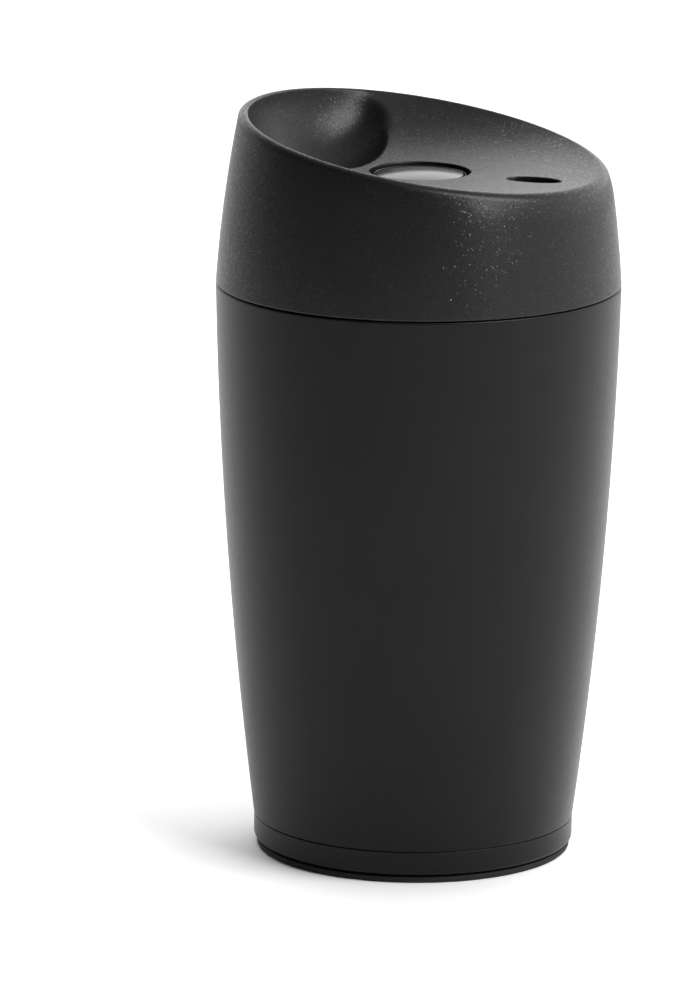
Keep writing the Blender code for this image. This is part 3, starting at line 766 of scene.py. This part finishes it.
def sip_patch(vertices, columns, first_row, step, across, window, height_of, edge_drop):
    """Replaces a window of the dish or the ceiling with rings that close in on the sip hole.

    Returns the new faces and the innermost ring. Rows run outward when step is 1 and inward when
    it is -1.
    """
    rows = len(columns[0])
    count = len(columns)

    def index(i, k):
        return i % count * rows + first_row + step * k

    near, far = window
    border = [index(i, near) for i in range(-across, across)]
    border += [index(across, k) for k in range(near, far)]
    border += [index(i, far) for i in range(across, -across, -1)]
    border += [index(-across, k) for k in range(far, near, -1)]
    outline = []
    for n in border:
        x, y = vertices[n][0] - SIP_CENTRE_X, vertices[n][1]
        t = math.atan2(y / SIP_SEMI_AXES[1], x / SIP_SEMI_AXES[0])
        outline.append((math.cos(t), math.sin(t)))
    margin = 0.35 * MM

    def ellipse(unit, grow):
        return (
            SIP_CENTRE_X + (SIP_SEMI_AXES[0] + grow) * unit[0], (SIP_SEMI_AXES[1] + grow) * unit[1]
        )

    faces = []
    previous = border
    rings = 9
    for ring in range(1, rings + 1):
        share = 1 - (1 - ring / rings) ** 1.5
        current = []
        for n, unit in zip(border, outline):
            start = vertices[n]
            end = ellipse(unit, margin)
            x = start[0] + (end[0] - start[0]) * share
            y = start[1] + (end[1] - start[1]) * share
            current.append(len(vertices))
            vertices.append((x, y, height_of(x, y)))
        faces += ring_faces(previous, current)
        previous = current
    for quarter in (0.25, 0.5, 0.75, 1.0):
        turn = quarter * math.pi / 2
        grow = margin * (1 - math.sin(turn))
        current = []
        for unit in outline:
            x, y = ellipse(unit, grow)
            edge = ellipse(unit, margin)
            z = height_of(*edge) - edge_drop * (1 - math.cos(turn))
            current.append(len(vertices))
            vertices.append((x, y, z))
        faces += ring_faces(previous, current)
        previous = current
    return faces, previous


def ring_faces(outer, inner):
    count = len(outer)
    return [
        (outer[i], outer[(i + 1) % count], inner[(i + 1) % count], inner[i]) for i in range(count)
    ]


def make_lid_shell(finish):
    """Outer cover of the lid, with the scoop, the button's well and the sip hole."""
    columns, rows = lid_columns()
    vertices, faces = loft(columns)
    per_column = len(columns[0])
    across = 12
    dish_window, ceiling_window = (12, 59), (9, 56)
    dish_first, dish_last = rows["dish"]
    ceiling_first, ceiling_last = rows["ceiling"]

    def dropped(face):
        """True for a face inside either window."""
        i = min(face) // per_column if max(face) - min(face) < 2 * per_column else FINE - 1
        column = (i + across) % FINE
        if column >= 2 * across:
            return False
        row = min(n % per_column for n in face)
        if max(n % per_column for n in face) - row > 1:
            return False
        in_dish = dish_first + dish_window[0] <= row < dish_first + dish_window[1]
        in_ceiling = ceiling_last - ceiling_window[1] <= row < ceiling_last - ceiling_window[0]
        return in_dish or in_ceiling

    faces = [f for f in faces if not dropped(f)]
    top_faces, top_ring = sip_patch(
        vertices, columns, dish_first, 1, across, dish_window, top_height, 0.35 * MM
    )
    low_faces, low_ring = sip_patch(
        vertices, columns, ceiling_last, -1, across, ceiling_window, under_height, -0.25 * MM
    )
    faces += top_faces + low_faces + ring_faces(top_ring, low_ring)
    used = sorted({n for f in faces for n in f})
    renumber = {n: k for k, n in enumerate(used)}
    faces = [tuple(renumber[n] for n in f) for f in faces]
    piece(
        "lid_cover", [vertices[n] for n in used], faces, "lid", "lid_shell", finish
    )


def make_lid_core(finish):
    """Screw-in body with the male thread, the flange and the port's seat."""
    bottom, skirt, bore = 0.1080, 35.2 * MM, 33.2 * MM
    flange_bottom, flange_top, flange = 0.1210, 0.1230, 39.0 * MM
    port, seat, seat_bottom, floor_top = 10.0 * MM, 11.4 * MM, 0.1070, 0.1100
    rest = rounded([
        (skirt, 0.1150), (skirt, flange_bottom, 0.3 * MM), (flange, flange_bottom, 0.3 * MM),
        (flange, flange_top, 0.4 * MM), (bore, flange_top, 0.3 * MM), (bore, floor_top, 0.8 * MM),
        (port, floor_top, 0.4 * MM), (port, seat_bottom, 0.3 * MM), (seat, seat_bottom, 0.3 * MM),
        (seat, bottom, 0.3 * MM), (22 * MM, bottom), (skirt - 0.8 * MM, bottom, 0.4 * MM),
        (skirt, bottom + 0.4 * MM),
    ])[1:-1]
    threaded(
        "lid_body", rest, (skirt, bottom + 0.4 * MM, 0.1150),
        (1.2 * MM, 0.1117, math.radians(50)), "lid", "lid_core", finish,
    )


# ------------------------------------------------------------------------ button, valve and spring


def make_button(finish):
    """Domed button: a thin rim, a fine groove inside it, and the dome."""
    radius, edge = 9.6 * MM, 0.1426
    groove_outer, groove_inner, groove_floor = 9.4 * MM, 9.0 * MM, edge - 0.9 * MM
    dome_edge, dome_top = edge + 0.05 * MM, edge + 0.85 * MM
    dome = []
    for share in spread(0.985, 0.12, 16):
        rise = 1 - share**2
        dome.append((groove_inner * share, dome_edge + (dome_top - dome_edge) * rise))
    skirt_bottom, skirt_inner, ceiling = 0.1388, 8.4 * MM, 0.1400
    crown_outer, crown_inner, crown_bottom = 6.1 * MM, 4.5 * MM, 0.1318
    bore, bore_top, bore_mouth = 2.55 * MM, 0.1388, 0.1340
    profile = [
        (0, bore_top), (bore, bore_top),
        *rounded([
            (bore, 0.1360), (bore, bore_mouth, 0.15 * MM), (crown_inner, bore_mouth, 0.15 * MM),
            (crown_inner, crown_bottom, 0.15 * MM), (crown_outer, crown_bottom, 0.15 * MM),
            (crown_outer, ceiling, 0.3 * MM), (skirt_inner, ceiling, 0.3 * MM),
            (skirt_inner, skirt_bottom, 0.2 * MM), (radius, skirt_bottom, 0.2 * MM),
            (radius, edge, 0.14 * MM), (groove_outer, edge, 0.12 * MM),
            (groove_outer, groove_floor), (groove_inner, groove_floor),
            (groove_inner, dome_edge, 0.22 * MM), dome[0],
        ])[1:],
        *dome[1:], (0, dome_top),
    ]
    turned("push_button", profile, "plunger", "button_cap", finish, ROUND)


def make_valve_disc(finish):
    """Plate that closes the port: a shallow dish below, and a step and a hub on top."""
    bottom, top, radius = low("valve_disc"), 0.1054, widest("valve_disc")
    step, step_top, dish_top = 9.1 * MM, 0.1061, bottom + 0.35 * MM
    hub, hub_top, bore, screw_hole = 3.8 * MM, high("valve_disc"), 2.55 * MM, 1.8 * MM
    profile = rounded([
        (screw_hole, bottom, 0.2 * MM), (4.0 * MM, bottom), (4.6 * MM, dish_top),
        (9.5 * MM, dish_top), (10.1 * MM, bottom), (radius, bottom, 0.8 * MM),
        (radius, top, 0.4 * MM), (step, top, 0.1 * MM), (step, step_top, 0.2 * MM),
        (hub, step_top, 0.2 * MM), (hub, hub_top, 0.2 * MM),
        (bore, hub_top, 0.15 * MM), (bore, top), (screw_hole, top),
    ])
    turned("valve_plate", profile, "plunger", "valve_disc", finish)


def make_valve_screw(finish):
    """Pan-head screw with a cross recess pressed into its head."""
    bottom, top, head = low("valve_screw"), high("valve_screw"), widest("valve_screw")
    head_top, shank, pitch, depth = 0.1031, 1.45 * MM, 0.6 * MM, 0.25 * MM
    cross_half, cross_flank, cross_depth = 0.42 * MM, 0.12 * MM, 0.9 * MM
    cross_length, cross_end = 1.9 * MM, 0.25 * MM
    rings = spread(0.0, 1.0, 26)[1:]
    sides = SMALL
    head_face = []
    for i in range(sides):
        a = TURN * i / sides
        column = []
        for share in rings:
            r = head * 0.98 * share
            x, y = r * math.cos(a), r * math.sin(a)
            dome = 0.45 * MM * share**4
            arm = min(abs(x), abs(y))
            reach = max(abs(x), abs(y))
            wall = min(1.0, max(0.0, (cross_half - arm) / cross_flank))
            end = min(1.0, max(0.0, (cross_length - reach) / cross_end))
            recess = cross_depth * wall * end * (1 - 0.35 * min(1.0, reach / cross_length))
            column.append((x, y, bottom + dome + recess))
        edge = [
            (head, bottom + 0.75 * MM), (head, head_top - 0.15 * MM), (head - 0.15 * MM, head_top),
            (shank + 0.2 * MM, head_top), (shank, head_top + 0.2 * MM),
        ]
        column += [(r * math.cos(a), r * math.sin(a), z) for r, z in edge]
        for z in spread(head_top + 0.4 * MM, top - 0.5 * MM, 60):
            turn = ((z - head_top) / pitch - a / TURN) % 1.0
            r = shank - depth * abs(2 * turn - 1)
            column.append((r * math.cos(a), r * math.sin(a), z))
        column.append((0.5 * MM * math.cos(a), 0.5 * MM * math.sin(a), top))
        head_face.append(column)
    vertices, faces = loft(head_face, closed_profile=False)
    rows = len(head_face[0])
    first, last = len(vertices), len(vertices) + 1
    vertices += [(0, 0, bottom + cross_depth), (0, 0, top)]
    for i in range(sides):
        here, there = i * rows, (i + 1) % sides * rows
        faces.append((first, there, here))
        faces.append((last, here + rows - 1, there + rows - 1))
    piece("disc_screw", vertices, faces, "plunger", "valve_screw", finish)


def make_return_spring(finish):
    """Compression spring with closed, ground end turns."""
    bottom, top = low("return_spring"), high("return_spring")
    wire, radius, turns, closed = 0.4 * MM, 5.0 * MM, 5.5, 0.8
    steps_per_turn, around = 56, 12
    steps = round(turns * steps_per_turn)
    low_centre, high_centre = bottom + wire * 0.7, top - wire * 0.7
    columns = []
    for i in range(steps + 1):
        turn = i / steps_per_turn
        free = turns - 2 * closed
        share = min(max(turn - closed, 0), free) / free
        ease = share * share * (3 - 2 * share) * 0.25 + share * 0.75
        z = low_centre + (high_centre - low_centre) * ease
        a = TURN * turn
        column = []
        for k in range(around):
            b = TURN * k / around
            r = radius + wire * math.cos(b)
            level = min(max(z + wire * math.sin(b), bottom), top)
            column.append((r * math.cos(a), r * math.sin(a), level))
        columns.append(column)
    vertices = [p for column in columns for p in column]
    faces = []
    for i in range(steps):
        for k in range(around):
            m = (k + 1) % around
            here, there = i * around, (i + 1) * around
            faces.append((here + k, here + m, there + m, there + k))
    faces.append(tuple(range(around)))
    faces.append(tuple(range(steps * around, (steps + 1) * around)))
    spring = piece(
        "button_spring", vertices, faces, "lid", "return_spring", finish
    )
    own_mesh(spring)


# -------------------------------------------------------------------------------- stage and camera

AZIMUTH = math.radians(24)
ELEVATION = math.radians(12.87)
ROLL = math.radians(0.61)
DISTANCE = 1.6
LOOK = Vector((0, 0, 0.075))
LENS = 276.6
TURN_LEFT = math.radians(0.544)
TURN_DOWN = math.radians(0.049)

# Each light: degrees round from the camera, degrees up, distance and side in metres, watts
KEY_LIGHT = (57, 46, 1.3, 0.8, 20)
FLOOR_LIGHT = (180, 68, 1.6, 1.6, 33)
GLINT_LIGHT = (43, 20, 1.3, 0.15, 4)

# The studio's walls: their strength opposite the dark side and on it, and the share that is left
# of it low down and overhead
DARK_SIDE = AZIMUTH - math.radians(33)
BRIGHT_WALL, DARK_WALL = 2.1, 0.06
LOW_SHARE, OVERHEAD_SHARE = 1.0, 0.35


def seen_from(azimuth, elevation):
    """Unit vector towards a viewer at this azimuth and elevation."""
    flat = math.cos(elevation)
    return Vector((math.sin(azimuth) * flat, -math.cos(azimuth) * flat, math.sin(elevation)))


def make_camera():
    data = bpy.data.cameras.new("camera")
    data.lens = LENS
    data.sensor_width = 36
    data.clip_end = 100
    camera = bpy.data.objects.new("camera", data)
    bpy.context.scene.collection.objects.link(camera)
    back = seen_from(AZIMUTH, ELEVATION)
    camera.location = LOOK + back * DISTANCE
    camera.rotation_mode = "QUATERNION"
    camera.rotation_quaternion = (
        (-back).to_track_quat("-Z", "Y")
        @ Quaternion((0, 0, 1), ROLL)
        @ Quaternion((0, 1, 0), TURN_LEFT)
        @ Quaternion((1, 0, 0), -TURN_DOWN)
    )
    bpy.context.scene.camera = camera


def area_light(name, settings):
    round_from_camera, up, distance, side, power = settings
    direction = seen_from(AZIMUTH + math.radians(round_from_camera), math.radians(up))
    data = bpy.data.lights.new(name, "AREA")
    data.shape = "RECTANGLE"
    data.size, data.size_y = side, side
    data.energy = power
    light = bpy.data.objects.new(name, data)
    bpy.context.scene.collection.objects.link(light)
    light.location = LOOK + direction * distance
    light.rotation_mode = "QUATERNION"
    light.rotation_quaternion = (-direction).to_track_quat("-Z", "Y")
    return light


def shine_only_on(light, obj):
    """The light reaches this object and no other."""
    lit = bpy.data.collections.new("lit_by_" + light.name)
    lit.objects.link(obj)
    light.light_linking.receiver_collection = lit


def make_world():
    """Pale studio round the mug: bright behind and beside it, darker on the camera's side."""
    world = bpy.data.worlds.new("studio")
    bpy.context.scene.world = world
    world.use_nodes = True
    tree = world.node_tree
    background = tree.nodes["Background"]
    direction = tree.nodes.new("ShaderNodeTexCoord")
    facing = tree.nodes.new("ShaderNodeVectorMath")
    facing.operation = "DOT_PRODUCT"
    facing.inputs[1].default_value = seen_from(DARK_SIDE, 0)
    tree.links.new(direction.outputs["Generated"], facing.inputs[0])
    height = tree.nodes.new("ShaderNodeSeparateXYZ")
    tree.links.new(direction.outputs["Generated"], height.inputs["Vector"])

    def level(source, start, end, first, last):
        node = tree.nodes.new("ShaderNodeMapRange")
        node.interpolation_type = "SMOOTHSTEP"
        values = {"From Min": start, "From Max": end, "To Min": first, "To Max": last}
        for name, value in values.items():
            node.inputs[name].default_value = value
        tree.links.new(source, node.inputs["Value"])
        return node.outputs["Result"]

    wall = level(facing.outputs["Value"], -0.85, 0.45, BRIGHT_WALL, DARK_WALL)
    share = level(height.outputs["Z"], 0.30, 0.80, LOW_SHARE, OVERHEAD_SHARE)
    total = tree.nodes.new("ShaderNodeMath")
    total.operation = "MULTIPLY"
    tree.links.new(wall, total.inputs[0])
    tree.links.new(share, total.inputs[1])
    tree.links.new(total.outputs["Value"], background.inputs["Strength"])
    background.inputs["Color"].default_value = (1, 1, 1, 1)


def make_floor():
    mesh = bpy.data.meshes.new("floor")
    half = 30
    corners = [(-half, -half, 0), (half, -half, 0), (half, half, 0), (-half, half, 0)]
    mesh.from_pydata(corners, [], [(0, 1, 2, 3)])
    material = bpy.data.materials.new("floor_white")
    material.use_nodes = True
    shader = material.node_tree.nodes["Principled BSDF"]
    shader.inputs["Base Color"].default_value = (0.84, 0.84, 0.84, 1)
    shader.inputs["Roughness"].default_value = 0.9
    shader.inputs["Specular IOR Level"].default_value = 0.1
    mesh.materials.append(material)
    floor = bpy.data.objects.new("floor", mesh)
    bpy.context.scene.collection.objects.link(floor)
    return floor


def make_studio():
    make_camera()
    make_world()
    floor = make_floor()
    area_light("key", KEY_LIGHT)
    shine_only_on(area_light("floor_light", FLOOR_LIGHT), floor)
    shine_only_on(area_light("glint_light", GLINT_LIGHT), bpy.data.objects["lid_cover"])
    bpy.context.scene.view_settings.view_transform = "Standard"


# ------------------------------------------------------------------------------------------- build


def main():
    black_shell = shell_plastic()
    black_lid = lid_plastic()
    black_button = button_plastic()
    rubber = foot_rubber()
    dark_plastic = inner_plastic(
        "inner_plastic", (0.036, 0.036, 0.039), (0.052, 0.052, 0.055), 0.42, 0.54
    )
    white_plastic = inner_plastic(
        "latch_plastic", (0.58, 0.58, 0.56), (0.66, 0.66, 0.64), 0.35, 0.45
    )
    seal = silicone()
    spun_steel = steel("liner_steel", (1.0, 1.0, 9.0), (0.56, 0.56, 0.57), (0.66, 0.66, 0.66))
    drawn_steel = steel("spring_steel", (4.0, 4.0, 4.0), (0.50, 0.50, 0.51), (0.60, 0.60, 0.61))

    make_cup_shell(black_shell)
    make_base_cap(black_shell)
    make_foot_pad(rubber)
    make_liner(spun_steel)
    make_collar(dark_plastic)
    make_seal("mouth_seal", "liner_seal", "cup", 35.4 * MM, seal)

    make_lid_shell(black_lid)
    make_lid_core(dark_plastic)
    make_seal("lid_gasket", "lid_seal", "gasket", 35.7 * MM, seal)
    make_seal("cover_seal", "lid_joint_seal", "lid", 36.2 * MM, seal)

    make_button(black_button)
    make_valve_disc(dark_plastic)
    make_seal("disc_seal", "valve_seal", "plunger", 9.4 * MM, seal, SMALL)
    make_seal("wiper_ring", "stem_seal", "lid", 2.55 * MM, seal, SMALL)
    make_valve_screw(drawn_steel)
    make_return_spring(drawn_steel)

    carried = {
        "latch_housing": dark_plastic, "latch_rotor": white_plastic, "seal_retainer": dark_plastic,
        "plunger_stem": drawn_steel, "spring_washer": drawn_steel,
    }
    for node, finish in carried.items():
        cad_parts[node].data.materials.clear()
        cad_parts[node].data.materials.append(finish)
    make_studio()


main()
